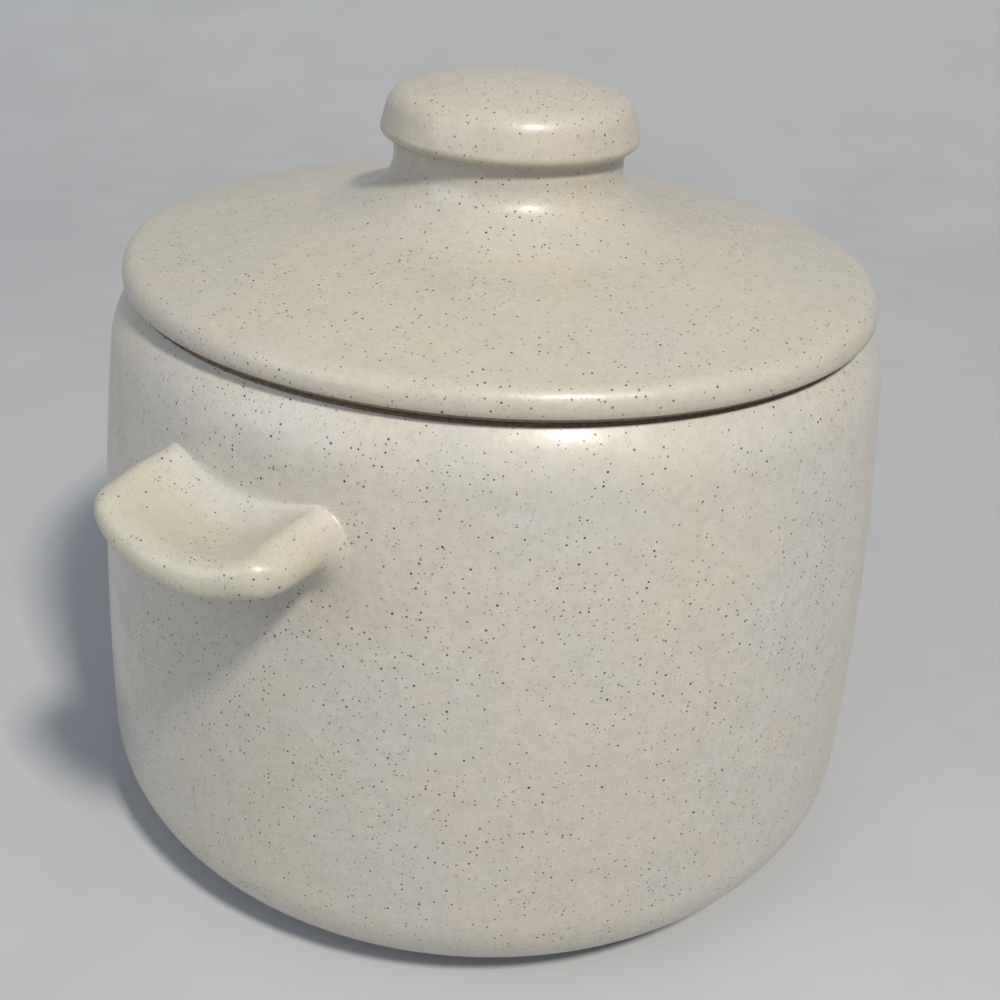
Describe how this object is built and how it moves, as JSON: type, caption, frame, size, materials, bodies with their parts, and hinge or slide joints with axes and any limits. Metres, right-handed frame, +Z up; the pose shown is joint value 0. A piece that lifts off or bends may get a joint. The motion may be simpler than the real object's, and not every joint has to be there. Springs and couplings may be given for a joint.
{
  "type": "lidded bean pot",
  "caption": "Round stoneware baking pot with lug handles and a loose domed lid whose wide knob lifts it straight off the rim.",
  "frame": {"origin": "on the resting plane, under the middle of the foot", "axes": "+Z up through the knob, the handles on the X axis"},
  "size_m": [0.213, 0.18, 0.1687],
  "materials": {
    "glazed_stoneware": "satin cream glaze with dark iron specks, bare clay on the foot, the rim and the lid's seat"
  },
  "bodies": {
    "pot": {"pot_body": "glazed_stoneware", "left_handle": "glazed_stoneware", "right_handle": "glazed_stoneware"},
    "lid": {"lid": "glazed_stoneware", "lid_knob": "glazed_stoneware", "lid_locating_ring": "glazed_stoneware"}
  },
  "joints": [
    {"name": "lid_lift", "type": "slide", "parent": "pot", "child": "lid", "axis": [0, 0, 1], "range_m": [0, 0.2]}
  ]
}
